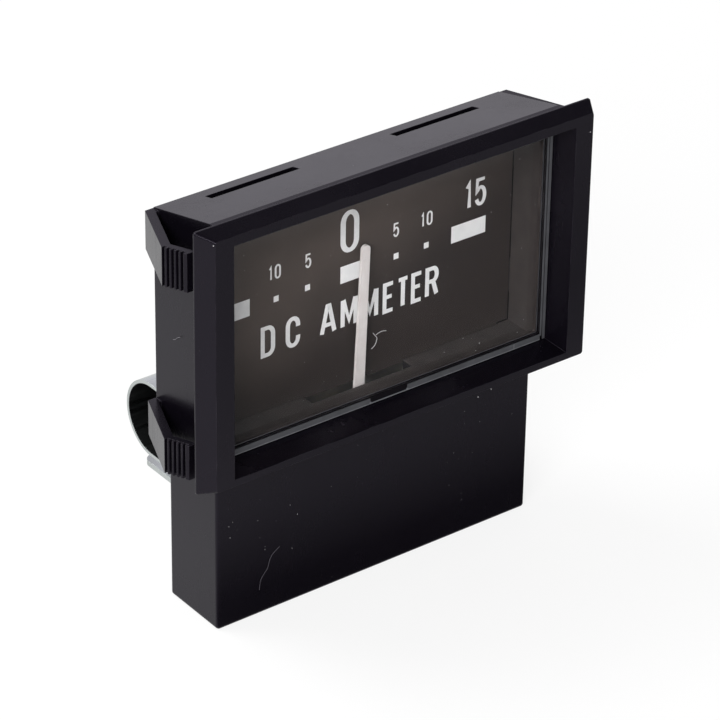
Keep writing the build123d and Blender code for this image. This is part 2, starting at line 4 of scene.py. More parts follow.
import bmesh
import bpy
from mathutils import Matrix, Vector


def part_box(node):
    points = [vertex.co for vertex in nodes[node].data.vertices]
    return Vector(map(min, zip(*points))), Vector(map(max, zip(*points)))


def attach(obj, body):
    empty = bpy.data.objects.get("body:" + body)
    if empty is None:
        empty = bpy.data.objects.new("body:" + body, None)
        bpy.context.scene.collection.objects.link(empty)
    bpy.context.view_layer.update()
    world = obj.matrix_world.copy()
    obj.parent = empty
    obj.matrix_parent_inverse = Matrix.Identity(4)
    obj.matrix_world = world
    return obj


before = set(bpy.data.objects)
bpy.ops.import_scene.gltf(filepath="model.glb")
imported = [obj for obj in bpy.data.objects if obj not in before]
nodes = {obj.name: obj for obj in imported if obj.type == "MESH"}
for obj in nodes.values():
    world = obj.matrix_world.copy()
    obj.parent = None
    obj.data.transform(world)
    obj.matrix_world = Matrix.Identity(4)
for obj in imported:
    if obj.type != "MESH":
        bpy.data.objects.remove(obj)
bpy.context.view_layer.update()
MM = 0.001
ROOT = "housing"
SQUARE = ((-1, -1), (1, -1), (1, 1), (-1, 1))
scene = bpy.context.scene
scene.view_settings.view_transform = "Standard"

# Camera, at the photograph's angle
CAMERA_PLACE = (-0.26838, -0.345424, 0.249378)
CAMERA_RIGHT = (0.799739, -0.600199, 0.013383)
CAMERA_UP = (0.297558, 0.415647, 0.859475)
CAMERA_AHEAD = (0.521418, 0.683373, -0.511003)
FOCAL_LENGTH, SENSOR_WIDTH = 195.467, 36.0
CLIP_START, CLIP_END = 0.01, 20.0


def add_camera():
    data = bpy.data.cameras.new("camera")
    data.lens = FOCAL_LENGTH
    data.sensor_width = SENSOR_WIDTH
    data.clip_start = CLIP_START
    data.clip_end = CLIP_END
    camera = bpy.data.objects.new("camera", data)
    scene.collection.objects.link(camera)
    turn = Matrix((CAMERA_RIGHT, CAMERA_UP, [-a for a in CAMERA_AHEAD])).transposed()
    camera.matrix_world = Matrix.Translation(CAMERA_PLACE) @ turn.to_4x4()
    scene.camera = camera


add_camera()

# Node helpers, with the places of a Mix node's sockets
NUMBER_A, NUMBER_B, NUMBER_OUT = 2, 3, 0
COLOUR_A, COLOUR_B, COLOUR_OUT = 6, 7, 2


class Graph:
    """A node tree, with short calls for the nodes that are added to it."""

    def __init__(self, tree):
        self.tree = tree

    def feed(self, socket, value):
        """Give a socket a number, a vector, a colour or another node's output."""
        if isinstance(value, bpy.types.NodeSocket):
            self.tree.links.new(value, socket)
        elif socket.type == "RGBA":
            socket.default_value = (*value, 1)
        else:
            socket.default_value = value

    def add(self, kind, inputs=None, **settings):
        node = self.tree.nodes.new(kind)
        for key, value in settings.items():
            setattr(node, key, value)
        for key, value in (inputs or {}).items():
            self.feed(node.inputs[key], value)
        return node

    def maths(self, operation, a, b):
        return self.add("ShaderNodeMath", {0: a, 1: b}, operation=operation).outputs["Value"]

    def plus(self, a, b):
        return self.maths("ADD", a, b)

    def minus(self, a, b):
        return self.maths("SUBTRACT", a, b)

    def times(self, a, b):
        return self.maths("MULTIPLY", a, b)

    def larger(self, a, b):
        return self.maths("MAXIMUM", a, b)

    def above(self, a, b):
        return self.maths("GREATER_THAN", a, b)

    def below(self, a, b):
        return self.maths("LESS_THAN", a, b)

    def span(self, value, source, target=(0, 1)):
        """A value moved from one range to another, and held within it."""
        ends = {"From Min": source[0], "From Max": source[1], "To Min": target[0], "To Max": target[1]}
        return self.add("ShaderNodeMapRange", {"Value": value, **ends}).outputs["Result"]

    def mix(self, factor, a, b):
        """Colour a where the factor is 0, colour b where it is 1."""
        inputs = {"Factor": factor, COLOUR_A: a, COLOUR_B: b}
        return self.add("ShaderNodeMix", inputs, data_type="RGBA").outputs[COLOUR_OUT]

    def choose(self, flag, a, b):
        """Number a where the flag is 0, number b where it is 1."""
        return self.add("ShaderNodeMix", {"Factor": flag, NUMBER_A: a, NUMBER_B: b}).outputs[NUMBER_OUT]

    def mix_shaders(self, share, first, second):
        return self.add("ShaderNodeMixShader", {"Fac": share, 1: first, 2: second}).outputs["Shader"]

    def axes(self, vector):
        """The X, Y and Z of a vector."""
        return self.add("ShaderNodeSeparateXYZ", {"Vector": vector}).outputs

    def ray_kinds(self):
        """Flags of rays that show the background, straight or through glass, and of rays that mirror it."""
        path = self.add("ShaderNodeLightPath").outputs
        unlit = self.below(path["Diffuse Depth"], 0.5)
        through = self.times(path["Is Transmission Ray"], unlit)
        bounced = self.times(through, self.above(path["Glossy Depth"], 0.5))
        clear = self.minus(through, bounced)
        return self.larger(path["Is Camera Ray"], clear), self.larger(path["Is Glossy Ray"], bounced)


class Paint(Graph):
    """A material built on one Principled shader."""

    def __init__(self, name, base, rough, metallic=0.0, specular=0.5):
        self.mat = bpy.data.materials.new(name)
        self.mat.use_nodes = True
        super().__init__(self.mat.node_tree)
        self.shader = self.tree.nodes["Principled BSDF"]
        self.surface = self.tree.nodes["Material Output"].inputs["Surface"]
        self.place = self.add("ShaderNodeTexCoord").outputs["Object"]
        self.set("Base Color", base)
        self.set("Roughness", rough)
        self.set("Metallic", metallic)
        self.set("Specular IOR Level", specular)

    def set(self, socket, value):
        self.feed(self.shader.inputs[socket], value)

    def stretched(self, scale):
        """The place on the object, scaled along each axis."""
        return self.add("ShaderNodeMapping", {"Scale": scale, "Vector": self.place}).outputs["Vector"]

    def noise(self, scale, detail, vector=None, rough=0.5):
        inputs = {"Scale": scale, "Detail": detail, "Roughness": rough, "Vector": vector or self.place}
        return self.add("ShaderNodeTexNoise", inputs).outputs["Fac"]

    def mottled(self, pattern, limits, dark, light):
        """The dark colour up to a pattern's lower limit, and the light one from its upper limit on."""
        return self.mix(self.span(pattern, limits), dark, light)

    def rounded(self, radius, samples):
        """Normals that show edges as rounded."""
        return self.add("ShaderNodeBevel", {"Radius": radius}, samples=samples).outputs["Normal"]

    def bump(self, height, depth, strength, normal):
        inputs = {"Height": height, "Distance": depth, "Strength": strength, "Normal": normal}
        self.set("Normal", self.add("ShaderNodeBump", inputs).outputs["Normal"])

    def specks(self, scale, size, share):
        """1 inside sparse round specks: cells of a Voronoi pattern, of which only a share is used."""
        near = self.add("ShaderNodeTexVoronoi", {"Scale": scale, "Vector": self.place}).outputs
        wobble = self.times(self.noise(scale * 6, 1), size * 0.8)
        inside = self.below(near["Distance"], self.minus(size, wobble))
        red = self.add("ShaderNodeSeparateColor", {"Color": near["Color"]}).outputs["Red"]
        return self.times(inside, self.above(red, 1 - share))

    def inside_box(self, low, high):
        """1 where the surface lies between two corners, 0 elsewhere."""
        inside = 1.0
        for place, least, most in zip(self.axes(self.place), low, high):
            inside = self.times(inside, self.times(self.above(place, least), self.below(place, most)))
        return inside

    def inside_loop(self, y, z, reach, front):
        """1 inside a loop along X that starts at front and is rounded about (y, z) behind, 0 elsewhere."""
        axes = self.axes(self.place)
        back = self.larger(self.minus(axes["Y"], y), 0.0)
        rise = self.minus(axes["Z"], z)
        squared = self.plus(self.times(back, back), self.times(rise, rise))
        return self.times(self.below(squared, reach * reach), self.above(axes["Y"], front))


# Materials, with places in metres
DEEP_BLACK = (0.0032, 0.0025, 0.0044)
BLACK_SHEEN = (0.88, 0.8, 1.0)
RUBBED_GREY = (0.05, 0.046, 0.054)
SPECK_GREY = (0.22, 0.21, 0.22)
# Painted reflected light: the lighter colour of the dial's chamber
CHAMBER_PAINTED_LIGHT = (0.044, 0.037, 0.034)
DIAL_BROWN = (0.074, 0.058, 0.051)
# Painted shade for the dial's lower right
DIAL_PAINTED_SHADE = (0.006, 0.004, 0.005)
WINDOW_SHEEN = (0.4, 0.4, 0.42)
TIN = (0.61, 0.65, 0.64)
# Painted dark reflection inside the strap's loop
TIN_PAINTED_REFLECTION = (0.06, 0.06, 0.065)
GREY_TARNISH, BROWN_TARNISH = (0.3, 0.29, 0.27), (0.35, 0.22, 0.1)
ROLLED, TURNED, EVEN = (0.06, 1, 1), (1, 0.1, 1), (1, 1, 1)
CHAMBER = ((-0.0272, 0.0014, -0.0173), (0.0272, 0.0084, 0.0142))
STRAP_LOOP = (0.02165, -0.0224, 0.0052, 0.0132)
MOULDED_EDGE, METAL_EDGE, PAINTED_EDGE = 0.00012, 0.00008, 0.0001


def shaded(colour, share):
    return tuple(c * share for c in colour)


def wear(p, base, shine, edges):
    """Rub the edges grey and add specks of dust."""
    flat = p.add("ShaderNodeNewGeometry").outputs["Normal"]
    dot = p.add("ShaderNodeVectorMath", {0: edges, 1: flat}, operation="DOT_PRODUCT").outputs["Value"]
    rub = p.times(p.span(dot, (0.99, 0.93)), p.span(p.noise(260, 4), (0.42, 0.66)))
    base = p.mix(p.times(rub, 0.5), base, RUBBED_GREY)
    shine = p.plus(shine, p.times(rub, 0.12))
    specks = p.specks(420, 0.045, 0.1)
    return p.mix(p.times(specks, 0.4), base, SPECK_GREY), p.plus(shine, p.times(specks, 0.3))


def paint_chamber_light(p, base, shine):
    """Paint the walls and floor of the dial's chamber a lighter, mottled colour as painted reflected light,
    and make them rougher.
    """
    inside = p.inside_box(*CHAMBER)
    chamber_light = p.times(inside, p.span(p.noise(420, 4), (0.3, 0.7), (0.7, 1.0)))
    return p.mix(chamber_light, base, CHAMBER_PAINTED_LIGHT), p.plus(shine, p.times(inside, 0.3))


def moulded_black(name, rough, handled):
    """Polished black moulding, slightly wavy. The handled case is also worn and dusty, and its dial chamber
    is painted lighter as painted reflected light.
    """
    p = Paint(name, DEEP_BLACK, rough, specular=0.25)
    p.set("Specular Tint", BLACK_SHEEN)
    cloud = p.noise(70, 4)
    streak = p.noise(900, 3, p.stretched((1, 1, 0.12)))
    shine = p.plus(p.span(cloud, (0.35, 0.7), (rough - 0.03, rough + 0.05)),
                   p.span(streak, (0.5, 0.8), (0.0, 0.04)))
    edges = p.rounded(MOULDED_EDGE, 6)
    base = p.mix(cloud, shaded(DEEP_BLACK, 0.85), shaded(DEEP_BLACK, 1.2))
    if handled:
        base, shine = wear(p, base, shine, edges)
        # Painted reflected light: the dial's chamber is painted lighter and mottled
        base, shine = paint_chamber_light(p, base, shine)
    p.set("Base Color", base)
    p.set("Roughness", shine)
    waves = p.plus(p.noise(45, 2), p.times(p.noise(1500, 2), 0.01))
    p.bump(waves, 0.0001, 0.4, edges)
    return p.mat


def clear_acrylic():
    """Clear polished moulding. Shadow rays pass it, so that the lamps light what lies behind it."""
    p = Paint("clear_acrylic", (1, 1, 1), 0.0, specular=0.25)
    p.set("IOR", 1.36)
    p.set("Specular Tint", WINDOW_SHEEN)
    p.set("Transmission Weight", 1.0)
    passed = p.add("ShaderNodeBsdfTransparent").outputs["BSDF"]
    shadow = p.add("ShaderNodeLightPath").outputs["Is Shadow Ray"]
    p.feed(p.surface, p.mix_shaders(shadow, p.shader.outputs["BSDF"], passed))
    return p.mat


def painted_light_and_shade(name, colour):
    """Opaque, faintly mottled colour for the strips about the window, which paint light and shade there."""
    p = Paint(name, colour, 0.35, specular=0.2)
    p.set("Base Color", p.mottled(p.noise(350, 3), (0.3, 0.7), shaded(colour, 0.75), colour))
    return p.mat


def dial_paint():
    """Smooth warm brown-black field, faintly mottled, with painted shade that darkens it towards the lower
    right.
    """
    p = Paint("dial_field", DIAL_BROWN, 0.5, specular=0.2)
    pattern = p.noise(60, 5, p.stretched((0.6, 1, 1)), 0.55)
    tint = p.mottled(pattern, (0.36, 0.66), shaded(DIAL_BROWN, 0.85), shaded(DIAL_BROWN, 1.15))
    axes = p.axes(p.place)
    # Painted shade: the field's colour is darkened towards the lower right
    lower_right = p.minus(p.times(axes["X"], 0.5), axes["Z"])
    p.set("Base Color", p.mix(p.span(lower_right, (-0.004, 0.010), (0, 0.7)), tint, DIAL_PAINTED_SHADE))
    p.set("Roughness", p.span(pattern, (0.3, 0.7), (0.45, 0.55)))
    return p.mat


def white_ink():
    p = Paint("white_ink", (0.85, 0.85, 0.86), 0.55, specular=0.3)
    p.set("Base Color", p.mottled(p.noise(700, 4), (0.35, 0.7), (0.8, 0.8, 0.81), (0.88, 0.88, 0.88)))
    return p.mat


def pointer_paint():
    p = Paint("pointer_enamel", (0.74, 0.69, 0.68), 0.38)
    p.set("Base Color", p.mottled(p.noise(500, 4), (0.35, 0.7), (0.69, 0.64, 0.63), (0.76, 0.72, 0.71)))
    p.bump(p.noise(1800, 2), 0.00001, 0.2, p.rounded(PAINTED_EDGE, 4))
    return p.mat


def metal(name, base, rough, grain=ROLLED, grain_scale=2600, tarnish=GREY_TARNISH, painted_reflection_inside=False):
    """Bare or plated metal with a grain and uneven tarnish. The strap is also painted darker inside its
    loop, a painted reflection of the dark it faces there.
    """
    p = Paint(name, base, rough, metallic=1.0)
    lines = p.noise(grain_scale, 3, p.stretched(grain))
    stain = p.span(p.noise(160, 5), (0.5, 0.78), (0, 0.25))
    tint = p.mix(stain, p.mottled(lines, (0.3, 0.7), shaded(base, 0.9), base), tarnish)
    if painted_reflection_inside:
        # Painted reflection: the strap is painted darker inside its loop
        tint = p.mix(p.times(p.inside_loop(*STRAP_LOOP), 0.8), tint, TIN_PAINTED_REFLECTION)
    p.set("Base Color", tint)
    p.set("Roughness", p.plus(p.span(lines, (0.3, 0.7), (rough - 0.05, rough + 0.07)), p.times(stain, 0.5)))
    p.bump(lines, 0.00001, 0.2, p.rounded(METAL_EDGE, 4))
    return p.mat


def lint(name, colour):
    p = Paint(name, colour, 0.7)
    p.set("Base Color", p.mix(p.noise(2500, 2), shaded(colour, 0.7), colour))
    return p.mat


tin = metal("tinned_sheet", TIN, 0.3)
rivet_tin = metal("tinned_rivet", (0.74, 0.72, 0.68), 0.3, EVEN, 900)
zinc = metal("zinc_plated_sheet", (0.62, 0.61, 0.56), 0.34)
steel = metal("turned_steel", (0.56, 0.56, 0.57), 0.28, TURNED, 1800)
brass = metal("turned_brass", (0.78, 0.58, 0.27), 0.28, TURNED, 1800, BROWN_TARNISH)
finish = {
    "case": moulded_black("case_moulding", 0.25, True),
    "rear_cover": moulded_black("cover_moulding", 0.42, False),
    "window": clear_acrylic(),
    "dial_plate": dial_paint(),
    "pointer": pointer_paint(),
    "shunt_strap": metal("strap_sheet", TIN, 0.3, painted_reflection_inside=True),
    "moving_vane": metal("soft_iron", (0.34, 0.34, 0.35), 0.5, EVEN, 900),
    "control_magnet": metal("sintered_magnet", (0.16, 0.16, 0.17), 0.6, EVEN, 1400),
    "left_terminal": tin, "right_terminal": tin,
    "terminal_rivets": rivet_tin, "strap_rivets": rivet_tin,
    "movement_frame": zinc, "front_bridge": zinc, "magnet_clip": zinc,
    "frame_screws": steel, "bridge_screws": steel, "spindle": steel, "stop_pins": steel,
    "front_bearing": brass, "bearing_nut": brass, "rear_bearing": brass,
    "pointer_hub": brass, "balance_weight": brass,
}
for name, node in nodes.items():
    for entry in node.material_slots:
        entry.material = finish[name]
    if not node.material_slots:
        node.data.materials.append(finish[name])


# Pieces of the scene, drawn in millimetres
def finish_mesh(name, bm, material, body):
    bmesh.ops.recalc_face_normals(bm, faces=bm.faces)
    mesh = bpy.data.meshes.new(name)
    bm.to_mesh(mesh)
    bm.free()
    mesh.transform(Matrix.Scale(MM, 4))
    mesh.materials.append(material)
    piece = bpy.data.objects.new(name, mesh)
    scene.collection.objects.link(piece)
    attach(piece, body)


def thicken(bm, depth):
    """Turn flat faces into solids that reach forward by depth."""
    geom = bmesh.ops.extrude_face_region(bm, geom=bm.faces[:])["geom"]
    moved = [v for v in geom if isinstance(v, bmesh.types.BMVert)]
    bmesh.ops.translate(bm, verts=moved, vec=(0, -depth, 0))


# Printed marks of the dial
DIAL_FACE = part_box("dial_plate")[0].y / MM
PRINT_DEPTH, STROKE_STEP = 0.03, 0.008
PRINT_SHIFT = (-0.3, 0.3)
MITRE_LIMIT, LEAST_COSINE = 2.2, 0.35
CAP, BOWL = 0.5, 0.26


def arc(cx, cz, rx, rz, start, end, steps=12):
    """Points on an ellipse, angles in degrees from +X towards +Z."""
    turn = [math.radians(start + (end - start) * i / steps) for i in range(steps + 1)]
    return [(cx + rx * math.cos(a), cz + rz * math.sin(a)) for a in turn]


ARCH = arc(0, CAP - BOWL, CAP, BOWL, 0, 180)
CUP = arc(0, BOWL - CAP, CAP, BOWL, 180, 360)
D_BOWL = arc(0.0, CAP - BOWL, CAP, BOWL, 90, 0, 8) + arc(0.0, BOWL - CAP, CAP, BOWL, 0, -90, 8)
# The centre lines of the strokes of each condensed letter or digit, in a unit box
GLYPHS = {
    "0": [ARCH + CUP],
    "1": [[(-0.5, 0.3), (0.02, CAP), (0.02, -CAP)]],
    "5": [[(0.46, CAP), (-0.4, CAP), (-0.47, 0.02)] + arc(0.0, -0.16, 0.5, 0.34, 140, -158, 20)],
    "A": [[(-CAP, -CAP), (-0.08, CAP), (0.08, CAP), (CAP, -CAP)], [(-0.34, -0.2), (0.34, -0.2)]],
    "C": [[(CAP, 0.17)] + ARCH + CUP + [(CAP, -0.17)]],
    "D": [[(-CAP, CAP)] + D_BOWL + [(-CAP, -CAP)]],
    "E": [[(CAP, CAP), (-CAP, CAP), (-CAP, -CAP), (CAP, -CAP)], [(-CAP, 0.03), (0.36, 0.03)]],
    "M": [[(-CAP, -CAP), (-CAP, CAP)], [(CAP, -CAP), (CAP, CAP)], [(-0.46, CAP), (0, -0.3), (0.46, CAP)]],
    "R": [[(-CAP, -CAP), (-CAP, CAP)] + arc(0.1, 0.26, 0.4, 0.24, 90, -90) + [(-0.28, 0.02)],
          [(0.12, 0.02), (CAP, -CAP)]],
    "T": [[(-CAP, CAP), (CAP, CAP)], [(0, CAP), (0, -CAP)]],
}
CLOSED = ("0", "D")
# Height of each size of letter, and its stroke where it runs upright and level
SMALL, LARGE, ZERO, LABEL = (2.1, 0.26, 0.24), (4.15, 0.56, 0.46), (6.2, 0.82, 0.62), (4.6, 0.66, 0.58)
# Bars by middle and size, and the dots of both sides
BARS = ((-19.26, -1.1, 5.75, 2.5), (19.26, -1.1, 5.75, 2.5), (0, -1.22, 3.8, 2.5))
DOTS_X, DOTS_Z, DOT_SIZE = (7.2, 12.2), -1.22, (0.78, 0.85)
# Numbers of both sides: digit, place of the number, the digit's shift from it, Z, width and size
NUMBERS = (("5", 7.12, 0, 2.72, 0.98, SMALL), ("1", 12.3, -0.72, 2.76, 0.62, SMALL),
           ("0", 12.3, 0.36, 2.76, 0.96, SMALL), ("1", 20.7, -1.45, 4.05, 1.35, LARGE),
           ("5", 20.7, 0.45, 4.05, 1.95, LARGE))
LABEL_Z = -7.1
LABEL_LETTERS = (("D", -13.5, 2.3), ("C", -9.5, 2.3), ("A", -3.8, 2.7), ("M", -0.4, 2.75), ("M", 3.0, 2.75),
                 ("E", 6.1, 2.0), ("T", 8.45, 2.1), ("E", 10.8, 2.0), ("R", 13.3, 2.25))


def ribbon(bm, points, closed, upright, level, y):
    """A flat mitred stroke along points, as wide as upright where it stands and as level where it lies."""
    count = len(points)
    sides = []
    for i, point in enumerate(points):
        before = points[i - 1] if i or closed else None
        after = points[(i + 1) % count] if i < count - 1 or closed else None
        steps = [(a, b) for a, b in ((before, point), (point, after)) if a and b]
        runs = [(Vector(b) - Vector(a)).normalized() for a, b in steps]
        mean = sum(runs, Vector((0, 0))).normalized()
        mitre = min(1 / max(mean.dot(runs[0]), LEAST_COSINE), MITRE_LIMIT)
        standing = abs(sum(run.y for run in runs) / len(runs))
        width = level + (upright - level) * standing
        across = Vector((-mean.y, mean.x)) * (width / 2 * mitre)
        sides.append([bm.verts.new((point[0] + s * across.x, y, point[1] + s * across.y)) for s in (1, -1)])
    pairs = list(zip(sides, sides[1:])) + ([(sides[-1], sides[0])] if closed else [])
    for (a, b), (c, d) in pairs:
        bm.faces.new((a, b, d, c))


def bar(bm, x, z, width, height):
    x, z = x + PRINT_SHIFT[0], z + PRINT_SHIFT[1]
    corners = [(x + i * width / 2, DIAL_FACE, z + k * height / 2) for i, k in SQUARE]
    bm.faces.new([bm.verts.new(c) for c in corners])


def mark(bm, letter, x, z, width, size):
    """One letter or digit about (x, z). Each stroke lies a little in front of the one before it."""
    height, upright, level = size
    x, z = x + PRINT_SHIFT[0], z + PRINT_SHIFT[1]
    for order, points in enumerate(GLYPHS[letter]):
        placed = [(x + px * (width - upright), z + pz * (height - level)) for px, pz in points]
        ribbon(bm, placed, letter in CLOSED, upright, level, DIAL_FACE - order * STROKE_STEP)


def dial_print():
    bm = bmesh.new()
    for x, z, width, height in BARS:
        bar(bm, x, z, width, height)
    for x in DOTS_X:
        for side in (-1, 1):
            bar(bm, side * x, DOTS_Z, *DOT_SIZE)
    mark(bm, "0", -0.45, 4.98, 3.0, ZERO)
    for side in (-1, 1):
        for digit, place, shift, z, width, size in NUMBERS:
            mark(bm, digit, side * place + shift, z, width, size)
    for letter, x, width in LABEL_LETTERS:
        mark(bm, letter, x, LABEL_Z, width, LABEL)
    thicken(bm, PRINT_DEPTH)
    finish_mesh("dial_print", bm, white_ink(), ROOT)


dial_print()

# The window's moulded rim, drawn as opaque strips of painted light and shade, with a gap over the notch
window_low, window_high = (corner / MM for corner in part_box("window"))
RIM_INSET, RIM_WIDTH, RIM_STEP = 0.05, 0.85, 0.4
OUTER_BAR, INNER_BAR = 0.42, 0.26
GROOVE_WIDTH, GROOVE_SETBACK = 0.26, 0.08
RIDGE_INSET, RIDGE_WIDTH = 1.5, 0.13
EDGE_PROUD, RIDGE_PROUD = 0.02, 0.03
GAP_LEFT, GAP_RIGHT = -3.0, 3.1
GLINT = 0.12
GAP_END_REACH, GAP_END_HEIGHT = 0.14, 0.3
TICK_X = 20.95


def boxes(name, corners, material, body):
    """One mesh of upright boxes, each given by its lowest and highest corner."""
    bm = bmesh.new()
    for low, high in corners:
        size = [b - a for a, b in zip(low, high)]
        centre = [(a + b) / 2 for a, b in zip(low, high)]
        place = Matrix.Translation(centre) @ Matrix.Diagonal((*size, 1))
        bmesh.ops.create_cube(bm, size=1.0, matrix=place)
    finish_mesh(name, bm, material, body)


def three_sides(inset, width, front, back):
    """Left, right and top bars of a rectangle that lies inside the window's outline."""
    left, right = window_low.x + inset, window_high.x - inset
    bottom, top = window_low.z + inset, window_high.z - inset
    return [((left, front, bottom), (left + width, back, top)),
            ((right - width, front, bottom), (right, back, top)),
            ((left + width, front, top - width), (right - width, back, top))]


def four_sides(inset, width, front, back):
    """All four bars of a rectangle that lies inside the window's outline."""
    left, right = window_low.x + inset, window_high.x - inset
    bottom = window_low.z + inset
    return three_sides(inset, width, front, back) + [((left, front, bottom), (right, back, bottom + width))]


def window_rim():
    front, back = window_low.y, window_low.y + RIM_STEP
    left, right = window_low.x + RIM_INSET + RIM_WIDTH, window_high.x - RIM_INSET - RIM_WIDTH
    bottom = window_low.z + RIM_INSET
    # Painted shadow: a near-black bar fills the groove between the rim and the pane
    groove = four_sides(RIM_INSET, RIM_WIDTH + GROOVE_WIDTH, front + GROOVE_SETBACK, back)
    boxes("window_groove_painted_shadow", groove, painted_light_and_shade("groove_painted_shadow", (0.006, 0.005, 0.007)), ROOT)
    # Painted light: grey bars on the rim, standing in for the light its edges catch
    rim = three_sides(RIM_INSET, OUTER_BAR, front, back)
    rim += three_sides(RIM_INSET + RIM_WIDTH - INNER_BAR, INNER_BAR, front, back)
    rim += [((start, front, bottom + GLINT), (end, back, bottom + RIM_WIDTH))
            for start, end in ((left, GAP_LEFT), (GAP_RIGHT, right))]
    boxes("window_rim", rim, painted_light_and_shade("rim_painted_light", (0.08, 0.081, 0.089)), ROOT)
    # Painted glints: a bright line along the rim's lower edge, spots at the gap's ends and a tick
    edge = [((left, front - EDGE_PROUD, bottom), (right, back, bottom + GLINT))]
    edge += [((x - GAP_END_REACH, front - RIDGE_PROUD, bottom),
              (x + GAP_END_REACH, back, bottom + GAP_END_HEIGHT)) for x in (GAP_LEFT, GAP_RIGHT)]
    edge.append(((TICK_X, front - EDGE_PROUD, bottom + GLINT), (TICK_X + GLINT, back, bottom + RIM_WIDTH)))
    boxes("window_rim_painted_glints", edge, painted_light_and_shade("rim_painted_glints", (0.17, 0.175, 0.19)), ROOT)
    # Painted highlight: a thin grey line on the pane, about its edge
    ridge = four_sides(RIDGE_INSET, RIDGE_WIDTH, front - RIDGE_PROUD, front)
    boxes("window_ridge_painted_highlight", ridge, painted_light_and_shade("ridge_painted_highlight", (0.05, 0.051, 0.057)), ROOT)


window_rim()

# Dust and hairs: (x, z) where the photograph shows them, and fine specks at random
rng = random.Random(7)
BEZEL_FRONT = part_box("case")[0].y / MM
WELL_FRONT = 2.3
SPECK_DEPTH = 0.012
WINDOW_SPECKS = ((-14.78, 15.45), (-1.52, 14.49), (-0.86, 12.69), (16.29, 6.18), (20.76, 12.62),
                 (12.21, -11.47), (15.02, -13.17), (14.44, -14.11), (9.07, -12.53), (21.45, -13.7),
                 (-3.48, -12.5))
WELL_SPECKS = ((-19.45, -29.31), (-13.03, -30.76), (-18.3, -34.27), (-13.87, -35.79), (-23.44, -28.07),
               (-24.04, -28.55), (-23.86, -30.34))
# The bezel speck at (-30.3, 17.8), on its upper left corner, is a painted highlight, not dust
BEZEL_SPECKS = ((29.53, 15.44), (-30.3, 17.8), (12.15, -18.74), (14.33, -18.28))
WINDOW_SPECK, WELL_SPECK, BEZEL_SPECK = 0.2, 0.14, 0.26
FINE_ON_WINDOW, FINE_ON_WELL = (0.07, 0.09, 0.12), (0.05, 0.07, 0.09)
FINE_WINDOW_COUNT, FINE_WELL_COUNT = 60, 30
WINDOW_MARGIN = 2
WELL_LOW, WELL_HIGH = (-24, -42), (24, -21)
WINDOW_HAIR = ((-2.82, -5.54), (-2.5, -5.98), (-2.15, -6.44), (-2.13, -6.67), (-2.33, -7.24),
               (-2.58, -7.63), (-3.03, -7.84))
WINDOW_HAIR_BRANCH = ((-2.34, -6.0), (-2.19, -5.92), (-1.73, -5.79), (-1.27, -5.74), (-0.67, -5.91))
WELL_HAIR = ((-15.91, -34.7), (-16.58, -35.09), (-17.24, -35.63), (-17.56, -36.31), (-17.8, -37.36),
             (-18.23, -37.83), (-18.81, -38.48), (-19.08, -39.11), (-19.16, -40.34))
SIDE_SCUFF = ((-27.9, 7.3, -1.1), (-27.9, 8.1, -1.6), (-27.9, 8.5, -2.1), (-27.9, 8.9, -2.2))
WINDOW_HAIR_RADIUS, WELL_HAIR_RADIUS, SCUFF_RADIUS = 0.045, 0.028, 0.03
WINDOW_HAIR_Y, WELL_HAIR_Y = window_low.y - 0.04, WELL_FRONT - 0.03


def fleck(bm, centre, size):
    """A flat irregular flake that faces the front."""
    count = rng.randint(5, 7)
    turn = rng.uniform(0, math.tau)
    stretch = rng.uniform(0.5, 1.0)
    ring = []
    for i in range(count):
        a = math.tau * i / count
        reach = size / 2 * rng.uniform(0.7, 1.0)
        u, v = reach * math.cos(a), reach * stretch * math.sin(a)
        u, v = u * math.cos(turn) - v * math.sin(turn), u * math.sin(turn) + v * math.cos(turn)
        ring.append(bm.verts.new(centre + Vector((u, 0, v))))
    bm.faces.new(ring)


def dust():
    """Specks on the window, the well and the bezel; the one on the bezel's upper left corner is a painted
    highlight.
    """
    bm = bmesh.new()
    placed = [(x, window_low.y, z, WINDOW_SPECK) for x, z in WINDOW_SPECKS]
    placed += [(x, WELL_FRONT, z, WELL_SPECK) for x, z in WELL_SPECKS]
    placed += [(x, BEZEL_FRONT, z, BEZEL_SPECK) for x, z in BEZEL_SPECKS]
    for _ in range(FINE_WINDOW_COUNT):
        x = rng.uniform(window_low.x + WINDOW_MARGIN, window_high.x - WINDOW_MARGIN)
        z = rng.uniform(window_low.z + WINDOW_MARGIN, window_high.z - WINDOW_MARGIN)
        placed.append((x, window_low.y, z, rng.choice(FINE_ON_WINDOW)))
    for _ in range(FINE_WELL_COUNT):
        x, z = (rng.uniform(low, high) for low, high in zip(WELL_LOW, WELL_HIGH))
        placed.append((x, WELL_FRONT, z, rng.choice(FINE_ON_WELL)))
    for x, y, z, size in placed:
        fleck(bm, Vector((x, y - SPECK_DEPTH, z)), size)
    thicken(bm, SPECK_DEPTH)
    finish_mesh("front_dust", bm, lint("dust", (0.42, 0.41, 0.42)), ROOT)


def on_front(points, y):
    return [(x, y, z) for x, z in points]


def fibre(name, points, radius, material):
    """A hair-thin smooth thread through points."""
    curve = bpy.data.curves.new(name, "CURVE")
    curve.dimensions = "3D"
    curve.bevel_depth = radius * MM
    curve.bevel_resolution = 1
    curve.resolution_u = 6
    spline = curve.splines.new("NURBS")
    spline.points.add(len(points) - 1)
    for target, point in zip(spline.points, points):
        target.co = (*[c * MM for c in point], 1)
    spline.order_u = 3
    spline.use_endpoint_u = True
    curve.materials.append(material)
    thread = bpy.data.objects.new(name, curve)
    scene.collection.objects.link(thread)
    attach(thread, ROOT)


